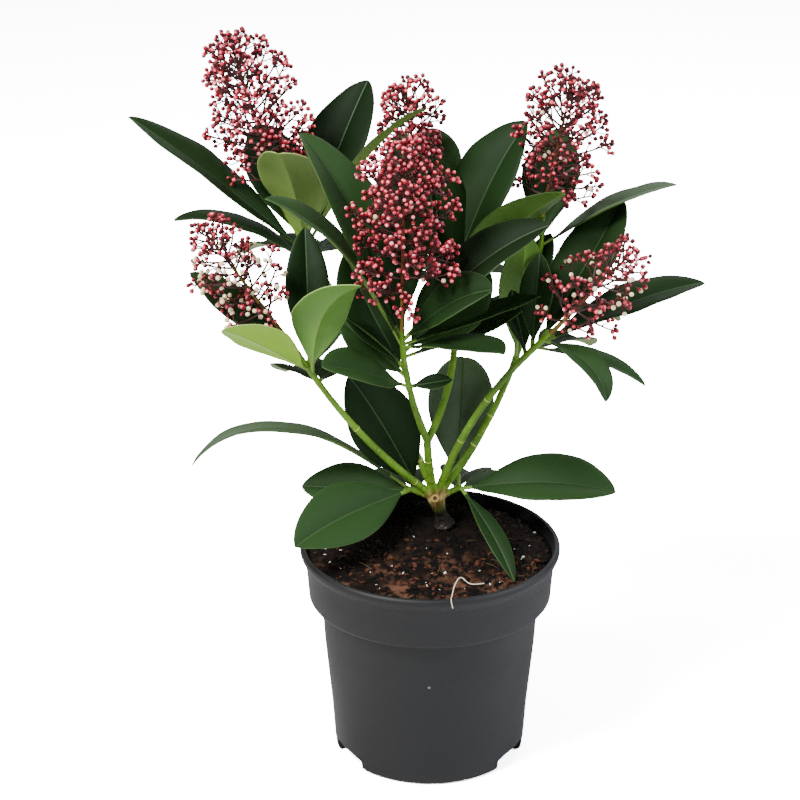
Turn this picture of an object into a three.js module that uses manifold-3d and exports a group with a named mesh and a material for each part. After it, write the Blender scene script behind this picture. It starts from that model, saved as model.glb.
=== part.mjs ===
// A potted skimmia in bud: a plain nursery pot, its soil, a short woody trunk, five boughs,
// and on each bough a whorl of evergreen leaves under a branched head of round flower buds.
// Millimetres. +Z is up and -Y is the front. The origin is the centre of the pot's flat underside.
import * as THREE from 'three';
import { mergeVertices } from 'three/addons/utils/BufferGeometryUtils.js';
import Module from 'manifold-3d';

const wasm = await Module();
wasm.setup();

// ---------------------------------------------------------------- driving dimensions

const GAP = 0.3; // clearance between touching pieces

const POT = {
  wall: 1.5,
  floor: 2,
  segments: 32,
};
// The outside of the pot's foot, of its wall with a stepped collar, and of its lip, as radius and height.
const POT_FOOT = [
  [45.8, 0],
  [47.7, 1.4],
];
const POT_WALL = [
  [48.2, 5],
  [49.6, 25],
  [53, 60],
  [54.4, 82],
  [55.4, 83],
  [59.8, 83.8],
  [60.7, 85],
  [61.9, 100],
  [62.6, 105],
];
const POT_LIP = [
  [64.4, 107.4],
  [65, 109],
  [65, 110.8],
  [64.2, 112],
  [62.5, 112],
];
const NOTCH = { headings: [90, 210, 330], width: 24, height: 7.5, innerRadius: 42, reach: 12 };

const SOIL = {
  footRadius: 43,
  edge: 107.5,
  crown: 117,
  crownRadius: 15,
  slope: [0.82, 0.62, 0.42], // shares of the way out from the crown to the edge
  clearance: 1,
  lump: 1.5,
  segments: 24,
  seed: 7,
};

const TRUNK = {
  foot: [7, 9, 117.3],
  knot: [3, 8, 133],
  flareRadius: 6,
  stations: [0, 0.15, 0.4, 0.75, 1, 1.2], // shares of the way from the foot to the knot
  girths: [1, 0.75, 0.5, 0.6, 0.77, 0.45], // the radius at each, as a share of the flare's
  lowStub: 7, // length of the stubs that carry the lowest leaves
  sides: 8,
};

const BOUGH = { rootRadius: 1.95, tipRadius: 1.55, stubLength: 13, steps: 5, sides: 8 };
const STEM = { steps: 3, sides: 6 };

const LEAF = {
  thickness: 0.015, // share of the length, at the midrib
  thickest: 1.2, // the thickness at the root, times the one above
  thinning: 0.8, // and how much of that is lost by the tip
  petiole: 0.09, // share of the length before the blade opens
  petioleWidth: 2.2,
  tipWidth: 0.5,
  opens: 0.15, // share of the length where the blade starts to fold
  fold: 14, // degrees that each half of the blade rises from the midrib
  stations: [0, 0.09, 0.22, 0.42, 0.62, 0.83, 1],
};

const HEAD = {
  stalkRadius: 1.2,
  stalkEnd: 0.6,
  twigRadius: 0.6,
  tuft: 3.6, // radius of the knob that stands for the few round buds at a twig's end
  sides: 4,
  goldenAngle: 137.5,
  lift: [0.2, 1], // radians that the lowest and the topmost side twig lean up the stalk
  fill: [0.3, 0.92], // where on a half sine wave the lengths of the side twigs start and end
  inner: 0.5, // length of the shortest side twig at any height, as a share of the longest
  shortest: 5, // and in millimetres
  clear: 0.65, // share of the bare stretch of stalk that belongs to the leaf mass
};

// Older leaves on the far side of each shoot hang lower. All are alike but for a seeded difference.
const OLD_LEAF = { height: 0.35, rise: -18, length: 70, width: 27, bend: 25, roll: 0, vary: 0.2, seed: 3 };

// Each shoot runs from the trunk's knot to the root of its flower head. The bough is its first
// share, bare of leaves; the rest is the stem of the leaf mass. bow is how far the middle of the
// line stands off the straight one. A leaf says how far up the shoot it sits (0 to 1), its compass
// heading (0 is +X, 90 is +Y), the rise of its chord, its length and width, how far it bends down
// from root to tip, how far the blade is rolled about its midrib and, where it curls sideways, its
// sweep. old lists the compass headings of the shoot's older leaves.
const SHOOTS = {
  left: {
    to: [-64, -14, 220],
    bow: [-3.5, -2, -3],
    bareTo: 0.74,
    leaves: [
      { at: 0.9, heading: 219, rise: 34, length: 62, width: 27, bend: 10, roll: 35 },
      { at: 0.94, heading: 159, rise: 33, length: 72, width: 26, bend: 0, roll: -10 },
      { at: 0.9, heading: 95, rise: 66, length: 70, width: 22, bend: 10, roll: 0 },
      { at: 0.88, heading: 304, rise: 55, length: 72, width: 30, bend: 50, roll: -20, sweep: 60 },
      { at: 0.9, heading: 60, rise: 36, length: 38, width: 18, bend: 20, roll: 0 },
    ],
    old: [76, 106],
    head: { top: [-110, -16, 287], bare: 0.3, spread: 28, twigs: 34, seed: 51 },
  },
  back_left: {
    to: [-71, 40, 272],
    bow: [5, 0, -4],
    bareTo: 0.78,
    leaves: [
      { at: 0.84, heading: 180, rise: 39.5, length: 115, width: 27, bend: 8, roll: -12 },
      { at: 0.8, heading: 187, rise: 22, length: 79, width: 22, bend: 45, roll: 0 },
      { at: 0.89, heading: 124, rise: 49, length: 67, width: 38, bend: 0, roll: 0 },
      { at: 0.88, heading: 255, rise: 55, length: 78, width: 37, bend: 30, roll: 0 },
      { at: 0.89, heading: 50, rise: 56, length: 88, width: 39, bend: 10, roll: 0 },
      { at: 0.88, heading: 4, rise: 50, length: 93, width: 17, bend: 32, roll: -30 },
    ],
    old: [55, 85, 120],
    head: { top: [-98, 46, 362], bare: 0.15, spread: 35, twigs: 54, seed: 13 },
  },
  front: {
    to: [-14, -18, 234],
    bow: [-3, 0, 0],
    from: 'centre',
    bareTo: 0.45,
    leaves: [
      { at: 0.84, heading: 202, rise: 51, length: 112, width: 27, bend: 38, roll: -16 },
      { at: 0.84, heading: 147, rise: 59, length: 116, width: 37, bend: 30, roll: 0 },
      { at: 0.9, heading: 356, rise: 41, length: 94, width: 34, bend: 30, roll: 22 },
      { at: 0.9, heading: 325, rise: 36, length: 65, width: 31, bend: 30, roll: 36 },
      { at: 0.87, heading: 7, rise: 18, length: 71, width: 20, bend: 0, roll: 0 },
      { at: 0.85, heading: 312, rise: 14, length: 73, width: 30, bend: 10, roll: 0 },
      { at: 0.5, heading: 221, rise: 25, length: 61, width: 28, bend: 12, roll: -25 },
      { at: 0.68, heading: 183, rise: 42, length: 42, width: 14, bend: 10, roll: 0 },
      { at: 0.8, heading: 25, rise: 36, length: 58, width: 34, bend: 10, roll: 50 },
      { at: 0.62, heading: 148, rise: 58, length: 66, width: 32, bend: -15, roll: -30 },
      { at: 0.58, heading: 165, rise: 38, length: 44, width: 22, bend: 5, roll: -40 },
      { at: 0.76, heading: 12, rise: 18, length: 62, width: 18, bend: -5, roll: 10 },
      { at: 0.5, heading: 5, rise: 8, length: 22, width: 9, bend: 0, roll: 40 },
      { at: 0.92, heading: 90, rise: 72, length: 100, width: 30, bend: 8, roll: 0 },
    ],
    old: [],
    head: { top: [-13, -24, 331], bare: 0.14, spread: 37, twigs: 54, seed: 31 },
  },
  back: {
    to: [-2, 58, 272],
    bow: [14, 4, -6],
    from: 'centre',
    bareTo: 0.52,
    leaves: [
      { at: 0.93, heading: 90, rise: 40, length: 53, width: 30, bend: 10, roll: 0 },
      { at: 0.66, heading: 21, rise: 63, length: 90, width: 46, bend: 20, roll: 12 },
      { at: 0.6, heading: 331, rise: 47, length: 90, width: 38, bend: 25, roll: -24 },
      { at: 0.55, heading: 130, rise: 74, length: 80, width: 36, bend: 10, roll: 0 },
    ],
    old: [45, 80, 115, 155],
    head: { top: [-15, 64, 331], bare: 0.4, spread: 26, twigs: 30, seed: 21 },
  },
  right: {
    to: [58, -10, 229],
    bow: [-6, 0, 4],
    bareTo: 0.82,
    leaves: [
      { at: 0.92, heading: 52, rise: 38, length: 89, width: 34, bend: -5, roll: 0 },
      { at: 0.92, heading: 18, rise: 14, length: 90, width: 27, bend: 18, roll: 8 },
      { at: 0.95, heading: 324, rise: -33, length: 48, width: 20, bend: 80, roll: 0 },
      { at: 0.9, heading: 0, rise: -21, length: 59, width: 20, bend: 30, roll: 0 },
      { at: 0.88, heading: 80, rise: 62, length: 48, width: 17, bend: 0, roll: 0 },
      { at: 0.84, heading: 110, rise: 55, length: 34, width: 14, bend: 0, roll: 0 },
    ],
    old: [60],
    head: { top: [96, -30, 280], bare: 0.12, spread: 27, twigs: 34, seed: 61 },
  },
  back_right: {
    to: [55, 38, 272],
    bow: [12, 3, -6],
    bareTo: 0.5,
    leaves: [
      { at: 0.52, heading: 282, rise: 76, length: 76, width: 23, bend: 0, roll: 0 },
      { at: 0.9, heading: 4, rise: 24.5, length: 74, width: 24, bend: 19, roll: -6 },
      { at: 0.9, heading: 77, rise: 44, length: 66, width: 30, bend: 0, roll: 0 },
      { at: 0.7, heading: 40, rise: 70, length: 38, width: 20, bend: 10, roll: 0 },
    ],
    old: [40, 75, 110, 145],
    head: { top: [69, 43, 342], bare: 0.12, spread: 33, twigs: 46, seed: 41 },
  },
};

// The limb that carries the front and back shoots, and where it forks.
const CENTRE = { fork: [-1.5, -1, 168], bow: [-1, -1, 0] };

// Leaves that grow from the knot itself, on short side twigs.
const LOW_SHOOTS = {
  low_left: {
    to: [-12, 11, 137],
    old: [95, 130],
    leaves: [
      { at: 0.9, heading: 186, rise: 8.5, length: 125, width: 14, bend: 96, roll: 0 },
      { at: 0.7, heading: 173, rise: -1, length: 58, width: 28, bend: 0, roll: -30 },
      { at: 0.8, heading: 221, rise: -6, length: 77, width: 34, bend: 20, roll: -35 },
      { at: 0.53, heading: 183, rise: 61, length: 74, width: 36, bend: 10, roll: -72 },
    ],
  },
  low_right: {
    to: [16, 12, 137],
    old: [45, 80],
    leaves: [
      { at: 0.8, heading: 346, rise: 5, length: 82, width: 36, bend: 25, roll: 20 },
      { at: 0.95, heading: 296, rise: -25, length: 65, width: 12, bend: 30, roll: 0 },
      { at: 0.85, heading: 86, rise: 46, length: 74, width: 34, bend: 55, roll: 0 },
    ],
  },
};

// ---------------------------------------------------------------- finishes

const finish = (color, roughness) => new THREE.MeshStandardMaterial({ color, roughness, metalness: 0 });
const PLASTIC = finish('#3c3d41', 0.6);
const PEAT = finish('#2b211b', 0.95);
const BARK = finish('#7a6a4d', 0.85);
const GREEN_BARK = finish('#7dab34', 0.55);
const LEAF_GREEN = finish('#2f4a2b', 0.4);
const BUD_RED = finish('#c94d5c', 0.55);

// ---------------------------------------------------------------- numbers and vectors

const radians = THREE.MathUtils.degToRad;
const vector = (list) => new THREE.Vector3(...list);
const UP = new THREE.Vector3(0, 0, 1);
const BACKWARD = new THREE.Vector3(0, 1, 0);

/** A repeatable stream of numbers from 0 to 1. */
function seeded(seed) {
  let state = seed;
  return () => {
    state = (state * 1664525 + 1013904223) % 4294967296;
    return state / 4294967296;
  };
}

/** The direction with a compass heading and a rise above the level, both in degrees. */
function direction(heading, rise) {
  const level = Math.cos(radians(rise));
  const x = level * Math.cos(radians(heading));
  const y = level * Math.sin(radians(heading));
  return new THREE.Vector3(x, y, Math.sin(radians(rise)));
}

/** A curve between two points whose middle stands off the straight line by bow. */
function bowed(from, to, bow) {
  const middle = from.clone().lerp(to, 0.5).addScaledVector(bow, 2);
  return new THREE.QuadraticBezierCurve3(from, middle, to);
}

/** Two unit vectors square to a direction, turned as little as possible from the upright. */
function crossAxes(along) {
  const reference = Math.abs(along.z) > 0.95 ? BACKWARD : UP;
  const side = new THREE.Vector3().crossVectors(reference, along).normalize();
  return [side, new THREE.Vector3().crossVectors(along, side)];
}

// ---------------------------------------------------------------- solids

/** A closed solid from a geometry whose faces point outwards. A ring may close to a point. */
function solid(geometry) {
  const bare = geometry.clone();
  bare.deleteAttribute('normal');
  bare.deleteAttribute('uv');
  const merged = mergeVertices(bare, 1e-4);
  const corners = merged.index.array;
  const faces = [];
  for (let i = 0; i < corners.length; i += 3) {
    const face = corners.slice(i, i + 3);
    if (new Set(face).size === 3) {
      faces.push(...face);
    }
  }
  const mesh = new wasm.Mesh({
    numProp: 3,
    vertProperties: new Float32Array(merged.attributes.position.array),
    triVerts: new Uint32Array(faces),
  });
  return new wasm.Manifold(mesh);
}

/** A closed skin over rings of points, each ring going round the same way, capped at both ends. */
function skin(rings) {
  const sides = rings[0].length;
  const positions = rings.flat().flatMap((p) => [p.x, p.y, p.z]);
  const index = [];
  for (let r = 0; r + 1 < rings.length; r += 1) {
    for (let k = 0; k < sides; k += 1) {
      const a = r * sides + k;
      const b = r * sides + ((k + 1) % sides);
      index.push(a, b, b + sides, a, b + sides, a + sides);
    }
  }
  const last = (rings.length - 1) * sides;
  for (let k = 1; k + 1 < sides; k += 1) {
    index.push(0, k + 1, k, last, last + k, last + k + 1);
  }
  const geometry = new THREE.BufferGeometry();
  geometry.setAttribute('position', new THREE.Float32BufferAttribute(positions, 3));
  geometry.setIndex(index);
  return geometry;
}

/** A round limb: at each point it is cut square to a direction and has a radius. */
function limb(points, ways, radii, sides) {
  const rings = points.map((point, i) => {
    const [side, top] = crossAxes(ways[i]);
    return Array.from({ length: sides }, (_, k) => {
      const angle = (k / sides) * Math.PI * 2;
      return point
        .clone()
        .addScaledVector(side, radii[i] * Math.cos(angle))
        .addScaledVector(top, radii[i] * Math.sin(angle));
    });
  });
  return solid(skin(rings));
}

/** Shares evenly spaced from start to end. */
const evenShares = (start, end, steps) =>
  Array.from({ length: steps + 1 }, (_, i) => THREE.MathUtils.lerp(start, end, i / steps));

/** The stretch of a curve from one share to another as a limb that tapers evenly. */
function limbAlong(curve, start, end, startRadius, endRadius, steps, sides) {
  const shares = evenShares(start, end, steps);
  const points = shares.map((share) => curve.getPointAt(share));
  const ways = shares.map((share) => curve.getTangentAt(share));
  return limb(points, ways, evenShares(startRadius, endRadius, steps), sides);
}

const joined = (solids) => wasm.Manifold.union(solids);

const parts = new THREE.Group();
const made = [];

/** Adds a solid to the plant as a named mesh. */
function addPart(name, body, material) {
  const { vertProperties, triVerts } = body.getMesh();
  const geometry = new THREE.BufferGeometry();
  geometry.setAttribute('position', new THREE.BufferAttribute(new Float32Array(vertProperties), 3));
  geometry.setIndex(new THREE.BufferAttribute(new Uint32Array(triVerts), 1));
  geometry.computeVertexNormals();
  const mesh = new THREE.Mesh(geometry, material);
  mesh.name = name;
  parts.add(mesh);
  made.push(body);
}

/** Whether a solid would touch any piece of the plant made so far. */
const touches = (body) => made.some((other) => body.minGap(other, GAP * 2) < GAP);

// ---------------------------------------------------------------- pot and soil

const point2 = ([radius, height]) => new THREE.Vector2(radius, height);

/** The inside of the pot's wall, from the floor up, as radius and height. */
const potInside = POT_WALL.map(([radius, height]) => [radius - POT.wall, height + POT.wall]);

/** The pot's outline: up the outside, over the lip and down the inside to the axis. */
function potProfile() {
  const floorEdge = [potInside[0][0] - POT.wall, POT.floor];
  const inside = [...potInside].reverse();
  return [[0, 0], ...POT_FOOT, ...POT_WALL, ...POT_LIP, ...inside, floorEdge, [0, POT.floor]].map(point2);
}

/** One drain notch, cut through the foot of the wall where it meets the floor. */
function notch(heading) {
  const block = new THREE.BoxGeometry(NOTCH.reach, NOTCH.width, NOTCH.height * 2);
  block.translate(NOTCH.innerRadius + NOTCH.reach / 2, 0, 0);
  block.rotateZ(radians(heading));
  return solid(block);
}

function makePot() {
  const body = solid(new THREE.LatheGeometry(potProfile(), POT.segments).rotateX(Math.PI / 2));
  addPart('pot', body.subtract(joined(NOTCH.headings.map(notch))), PLASTIC);
}

/** The radius of the pot's inside at a height. */
function insideRadius(height) {
  const above = potInside.findIndex(([, z]) => z >= height);
  const [upperRadius, upper] = potInside[above];
  const [lowerRadius, lower] = potInside[above - 1];
  return THREE.MathUtils.mapLinear(height, lower, upper, lowerRadius, upperRadius);
}

/** The soil: it fills the pot, with a lumpy top that rises to a small level crown at the trunk. */
function makeSoil() {
  const random = seeded(SOIL.seed);
  const centre = point2(TRUNK.foot);
  const ring = (radius, height, lump = 0, shift = 0) =>
    Array.from({ length: SOIL.segments }, (_, k) => {
      const angle = (k / SOIL.segments) * Math.PI * 2;
      const x = centre.x * shift + radius * Math.cos(angle);
      const y = centre.y * shift + radius * Math.sin(angle);
      return new THREE.Vector3(x, y, height + lump * (random() * 2 - 1));
    });
  const edgeRadius = insideRadius(SOIL.edge - SOIL.lump) - SOIL.clearance;
  const walls = potInside.filter(([, height]) => height < SOIL.edge - SOIL.lump);
  const rings = [
    ring(SOIL.footRadius, POT.floor + GAP),
    ...walls.map(([radius, height]) => ring(radius - SOIL.clearance, height + SOIL.clearance / 2)),
    ring(edgeRadius, SOIL.edge, SOIL.lump / 2),
    ...SOIL.slope.map((share) => {
      const radius = THREE.MathUtils.lerp(SOIL.crownRadius, edgeRadius, share);
      const height = THREE.MathUtils.lerp(SOIL.crown, SOIL.edge, share ** 1.5);
      return ring(radius, height, SOIL.lump, 1 - share);
    }),
    ring(SOIL.crownRadius, SOIL.crown, 0, 1),
  ];
  addPart('soil', solid(skin(rings)), PEAT);
}

// ---------------------------------------------------------------- leaves

/** The half width of a leaf at a share of its length: a narrow stalk, then a blade widest past its middle. */
function leafHalfWidth(leaf, share) {
  const along = Math.max(share - LEAF.petiole, 0) / (1 - LEAF.petiole);
  const blade = Math.sin(Math.PI * along ** 1.15) ** 0.85;
  const least = share < 0.5 ? LEAF.petioleWidth : LEAF.tipWidth;
  return Math.max(leaf.width * blade, least) / 2;
}

/** The direction in which a leaf runs at a share of its length. */
function leafDirection(leaf, share) {
  const heading = leaf.heading + (leaf.sweep ?? 0) * (share - 0.5);
  return direction(heading, leaf.rise + leaf.bend * (1 / 3 - share * share));
}

/** The four points round a leaf at a share of its length: an edge, the top, an edge, the underside. */
function leafSection(leaf, share, middle) {
  const along = leafDirection(leaf, share);
  const side = new THREE.Vector3().crossVectors(UP, along).normalize();
  const top = new THREE.Vector3().crossVectors(along, side);
  side.applyAxisAngle(along, radians(leaf.roll));
  top.applyAxisAngle(along, radians(leaf.roll));
  const half = leafHalfWidth(leaf, share);
  const fold = radians(share < LEAF.opens ? 0 : LEAF.fold);
  const thick = leaf.length * LEAF.thickness * (LEAF.thickest - LEAF.thinning * share);
  const edge = (sign) =>
    middle
      .clone()
      .addScaledVector(side, sign * half * Math.cos(fold))
      .addScaledVector(top, half * Math.sin(fold));
  const onMidrib = (sign) => middle.clone().addScaledVector(top, (sign * thick) / 2);
  return [edge(1), onMidrib(1), edge(-1), onMidrib(-1)];
}

/** One leaf as a folded blade, its root at a point inside the stem that carries it. */
function leafSolid(root, leaf) {
  const middle = root.clone();
  const rings = LEAF.stations.map((share, i) => {
    const before = LEAF.stations[Math.max(i - 1, 0)];
    middle.addScaledVector(leafDirection(leaf, (share + before) / 2), leaf.length * (share - before));
    return leafSection(leaf, share, middle);
  });
  return solid(skin(rings));
}

/** The older leaves of a mass whose stem starts at a share of its shoot, one for each heading. */
function oldLeaves(headings, start) {
  const random = seeded(OLD_LEAF.seed);
  const at = THREE.MathUtils.lerp(start, 1, OLD_LEAF.height);
  return headings.map((heading) => {
    const size = 1 + OLD_LEAF.vary * (random() - 0.5);
    const { length, width } = OLD_LEAF;
    return { ...OLD_LEAF, at, heading, length: length * size, width: width * size };
  });
}

// ---------------------------------------------------------------- flower heads

/** A side twig from start towards way, ending in a tuft of buds, as one closed skin. */
function buddedTwig(start, way, length) {
  const r = HEAD.tuft;
  const at = (distance) => start.clone().addScaledVector(way, distance);
  const points = [start, at(length - r), at(length), at(length + r)];
  return limb(points, points.map(() => way), [0, HEAD.twigRadius, r, 0], HEAD.sides);
}

/** The side twig numbered k of a flower head: where it starts, its direction and its length. */
function sideTwig(stalk, head, k, end, random) {
  const share = THREE.MathUtils.lerp(head.bare, end, k / head.twigs);
  const height = (share - head.bare) / (1 - head.bare);
  const along = stalk.getTangentAt(share);
  const [side, up] = crossAxes(along);
  const angle = radians(k * HEAD.goldenAngle + random() * 30);
  const out = side.clone().multiplyScalar(Math.cos(angle)).addScaledVector(up, Math.sin(angle));
  const lift = THREE.MathUtils.lerp(...HEAD.lift, height);
  const way = out.multiplyScalar(Math.cos(lift)).addScaledVector(along, Math.sin(lift)).normalize();
  const fullness = Math.sin(Math.PI * THREE.MathUtils.lerp(...HEAD.fill, height));
  const reach = head.spread * fullness * THREE.MathUtils.lerp(HEAD.inner, 1, random() ** 0.5);
  return [stalk.getPointAt(share), way, Math.max(reach - HEAD.tuft, HEAD.shortest)];
}

/**
 * A flower head: the branched part of a stalk, which tapers to a tuft of buds, with more on side
 * twigs set round it by the golden angle. A twig that would touch a leaf or a limb is left out.
 */
function flowerHead(stalk, head) {
  const random = seeded(head.seed);
  const start = head.bare * HEAD.clear + GAP / stalk.getLength();
  const end = 1 - (HEAD.tuft * 2) / stalk.getLength();
  const stem = limbAlong(stalk, start, end, HEAD.stalkRadius, HEAD.stalkEnd, STEM.steps, HEAD.sides);
  const tip = buddedTwig(stalk.getPointAt(end * 0.98), stalk.getTangentAt(1), HEAD.tuft * 1.5);
  const pieces = [stem, tip];
  for (let k = 0; k < head.twigs; k += 1) {
    const piece = buddedTwig(...sideTwig(stalk, head, k, end, random));
    if (!touches(piece)) {
      pieces.push(piece);
    }
  }
  return joined(pieces);
}

// ---------------------------------------------------------------- trunk, boughs and masses

const knot = vector(TRUNK.knot);

/** A shoot's centre line, from the knot or from the centre limb's fork. */
function shootLine(shoot) {
  const from = shoot.from === 'centre' ? vector(CENTRE.fork) : knot;
  return bowed(from, vector(shoot.to), vector(shoot.bow));
}

/** The woody trunk: a flared foot with a level cut, a waist, a knot, and a stub for each limb. */
function makeTrunk(limbLines, lowLines) {
  const foot = vector(TRUNK.foot);
  const up = knot.clone().sub(foot).normalize();
  const points = TRUNK.stations.map((share) => foot.clone().lerp(knot, share));
  const ways = points.map(() => up);
  const radii = TRUNK.girths.map((share) => TRUNK.flareRadius * share);
  const stubs = limbLines.map((line) => stub(line, BOUGH.stubLength));
  const lowStubs = lowLines.map((line) => stub(line, TRUNK.lowStub));
  const below = new THREE.BoxGeometry(60, 60, 20).translate(foot.x, foot.y, foot.z - 10);
  const body = joined([limb(points, ways, radii, TRUNK.sides), ...stubs, ...lowStubs]);
  addPart('trunk', body.subtract(solid(below)), BARK);
}

/** The even stub that carries the limb of a line, up to a distance along it. */
function stub(line, length) {
  const { rootRadius, sides } = BOUGH;
  return limbAlong(line, 0, length / line.getLength(), rootRadius, rootRadius, 2, sides);
}

/** A bough: one tapering limb along the bare share of its line. */
function makeBough(name, line, start, end) {
  const { rootRadius, tipRadius, steps, sides } = BOUGH;
  addPart(name, limbAlong(line, start, end, rootRadius, tipRadius, steps, sides), GREEN_BARK);
}

/** The centre bough: it ends in the stubs of the two limbs that it forks into. */
function makeCentreBough(line, start, forkLines) {
  const stem = limbAlong(line, start, 1, BOUGH.rootRadius, BOUGH.rootRadius, STEM.steps, BOUGH.sides);
  const stubs = forkLines.map((fork) => stub(fork, BOUGH.stubLength));
  addPart('bough_centre', joined([stem, ...stubs]), GREEN_BARK);
}

/** The stem of a leaf mass: it goes on from its bough's tip into the foot of the flower stalk. */
function massStem(line, start, stalk, stalkEnd) {
  const onLine = evenShares(start, 1, STEM.steps).map((share) => [line, share]);
  const onStalk = stalk ? evenShares(stalkEnd / 2, stalkEnd, 1).map((share) => [stalk, share]) : [];
  const cuts = [...onLine, ...onStalk];
  const points = cuts.map(([curve, share]) => curve.getPointAt(share));
  const ways = cuts.map(([curve, share]) => curve.getTangentAt(share));
  return limb(points, ways, evenShares(BOUGH.tipRadius, HEAD.stalkRadius, cuts.length - 1), STEM.sides);
}

/** A leaf mass: the stem beyond the bough, with the leaves sunk into it. */
function makeMass({ name, line, stalk, head, leaves, old }, limbEnd) {
  const start = limbEnd + GAP / line.getLength();
  const stem = massStem(line, start, stalk, head?.bare * HEAD.clear);
  const whorl = [...leaves, ...oldLeaves(old, start)];
  const blades = whorl.map((leaf) => leafSolid(line.getPointAt(leaf.at), leaf));
  addPart(`leaves_${name}`, joined([stem, ...blades]), LEAF_GREEN);
}

const centreLine = bowed(knot, vector(CENTRE.fork), vector(CENTRE.bow));
const shoots = Object.entries(SHOOTS).map(([name, shoot]) => {
  const line = shootLine(shoot);
  const stalk = bowed(vector(shoot.to), vector(shoot.head.top), new THREE.Vector3());
  return { name, ...shoot, line, stalk };
});
const lowShoots = Object.entries(LOW_SHOOTS).map(([name, shoot]) => ({
  name,
  ...shoot,
  line: bowed(knot, vector(shoot.to), new THREE.Vector3()),
}));
const linesOf = (list) => list.map((shoot) => shoot.line);
const forks = shoots.filter((shoot) => shoot.from === 'centre');
const mains = shoots.filter((shoot) => shoot.from !== 'centre');
const pastStub = (line) => (BOUGH.stubLength + GAP) / line.getLength();

makePot();
makeSoil();
makeTrunk([centreLine, ...linesOf(mains)], linesOf(lowShoots));
makeCentreBough(centreLine, pastStub(centreLine), linesOf(forks));
for (const { name, line, bareTo } of shoots) {
  makeBough(`bough_${name}`, line, pastStub(line), bareTo);
}
for (const shoot of shoots) {
  makeMass(shoot, shoot.bareTo);
}
for (const shoot of lowShoots) {
  makeMass(shoot, TRUNK.lowStub / shoot.line.getLength());
}
for (const { name, stalk, head } of shoots) {
  addPart(`flowers_${name}`, flowerHead(stalk, head), BUD_RED);
}

export default parts;
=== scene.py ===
"""A potted skimmia in bud, dressed over its plain solids.

The shoots, leaves and flower heads grow by the rules of the part's source, written again here and
carried on to finer twigs, pedicels and buds. Lengths are in millimetres until a mesh is made.
+Z is up, -Y is the front and the origin is the centre of the pot's flat underside.
"""
import math
import random
from collections import namedtuple

import bpy
import numpy as np
from mathutils import Matrix, Vector, noise
from mathutils.bvhtree import BVHTree
from mathutils.geometry import interpolate_bezier


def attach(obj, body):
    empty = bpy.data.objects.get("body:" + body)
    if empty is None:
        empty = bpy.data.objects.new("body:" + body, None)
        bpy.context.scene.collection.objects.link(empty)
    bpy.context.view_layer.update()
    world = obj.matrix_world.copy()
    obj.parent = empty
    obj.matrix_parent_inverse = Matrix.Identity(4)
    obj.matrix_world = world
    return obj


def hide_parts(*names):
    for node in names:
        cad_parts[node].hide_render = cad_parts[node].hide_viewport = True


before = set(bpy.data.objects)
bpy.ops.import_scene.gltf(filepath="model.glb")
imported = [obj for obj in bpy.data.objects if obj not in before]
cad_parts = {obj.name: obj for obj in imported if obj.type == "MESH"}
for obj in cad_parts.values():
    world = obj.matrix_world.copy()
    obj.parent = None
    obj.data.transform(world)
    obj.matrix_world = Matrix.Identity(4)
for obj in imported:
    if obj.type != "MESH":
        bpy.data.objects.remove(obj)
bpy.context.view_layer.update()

MM = 0.001
UP = Vector((0, 0, 1))

# ---- sizes shared with the source

POT = {"wall": 1.5, "floor": 2}
POT_FOOT = [(45.8, 0), (47.7, 1.4)]
POT_STEP = [(54.4, 82), (55.4, 83), (59.8, 83.8), (60.7, 85)]
POT_WALL = [(48.2, 5), (49.6, 25), (53, 60), *POT_STEP, (61.9, 100), (62.6, 105)]
POT_LIP = [(64.4, 107.4), (65, 109), (65, 110.8), (64.2, 112), (62.5, 112)]
NOTCH = {"headings": (90, 210, 330), "width": 24, "height": 7.5, "inner": 42, "reach": 12}
SOIL = {"foot": 43, "edge": 107.5, "crown": 117, "crown_radius": 15}

FOOT = Vector((7, 9, 117.3))
KNOT = Vector((3, 8, 133))
FLARE = 6
TRUNK_STATIONS = (0, 0.15, 0.4, 0.75, 1, 1.2)
TRUNK_GIRTHS = (1, 0.75, 0.5, 0.6, 0.77, 0.45)
STUB = 13
LOW_STUB = 7
GAP = 0.3  # between solids that touch
ROOT_RADIUS, TIP_RADIUS, STALK_RADIUS, STALK_END = 1.95, 1.55, 1.15, 0.5

LEAF = {"petiole": 0.09, "petiole_width": 2.2, "tip_width": 0.5, "opens": 0.15, "fold": 14}
HEAD = {"tuft": 3.6, "golden": 137.5, "lift": (0.2, 1.0), "fill": (0.3, 0.92), "inner": 0.5, "shortest": 5}
OLD_LEAF = {"height": 0.35, "rise": -18, "length": 70, "width": 27, "bend": 25, "vary": 0.2, "seed": 3}
FORK = Vector((-1.5, -1, 168))
FORK_BOW = (-1, -1, 0)

# A leaf stands at a share of its shoot's length. Heading and rise are the way it points on the whole, and it
# bends down and sweeps round by so many degrees from its foot to its tip. under picks the underside's green,
# and top the upper side's, which is drawn by lot when None. Where they are given, they mostly pick a lighter
# copy of a green for a leaf that catches light and a darker one for a leaf in shade: painted light and shade.
Leaf = namedtuple("Leaf", "at heading rise length width bend roll sweep under top", defaults=(0, 0, None))

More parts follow.
